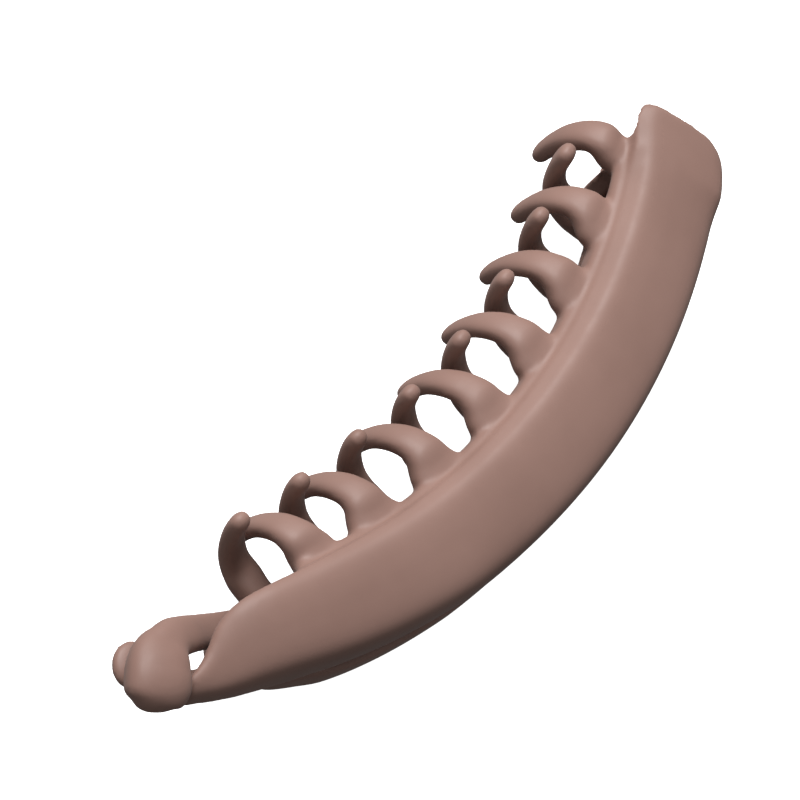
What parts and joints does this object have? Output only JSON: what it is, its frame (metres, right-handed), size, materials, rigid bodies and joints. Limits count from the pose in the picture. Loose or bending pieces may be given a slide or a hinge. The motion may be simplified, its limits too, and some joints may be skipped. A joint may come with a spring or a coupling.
{
  "type": "ponytail clip",
  "caption": "Curved banana-style hair clip: two hinged plastic combs with broad smooth covers, interleaving curled teeth and a snap catch at one end.",
  "frame": {"origin": "at the mount comb_side: on the parting plane between the two halves, 100 mm from the centre of the banana curve, 3 mm toward the hinge from the middle of the curve", "axes": "+X along the clip from the catch to the hinge, +Y from the covers toward the teeth, +Z from the lower half up to the upper half; the clip lies on its side"},
  "size_m": [0.1357, 0.0409, 0.02],
  "materials": {
    "upper_half": "matte, soft-touch mauve brown",
    "lower_half": "matte, soft-touch mauve brown",
    "hinge_pin": "plain bright wire"
  },
  "bodies": {
    "lower_half": {"lower_half": "lower_half", "hinge_pin": "hinge_pin"},
    "upper_half": {"upper_half": "upper_half"}
  },
  "joints": [
    {"name": "clip_hinge", "type": "hinge", "parent": "lower_half", "child": "upper_half", "pos_m": [0.0599, -0.0015, 0], "axis": [0, 1, 0], "range_deg": [0, 75]}
  ]
}
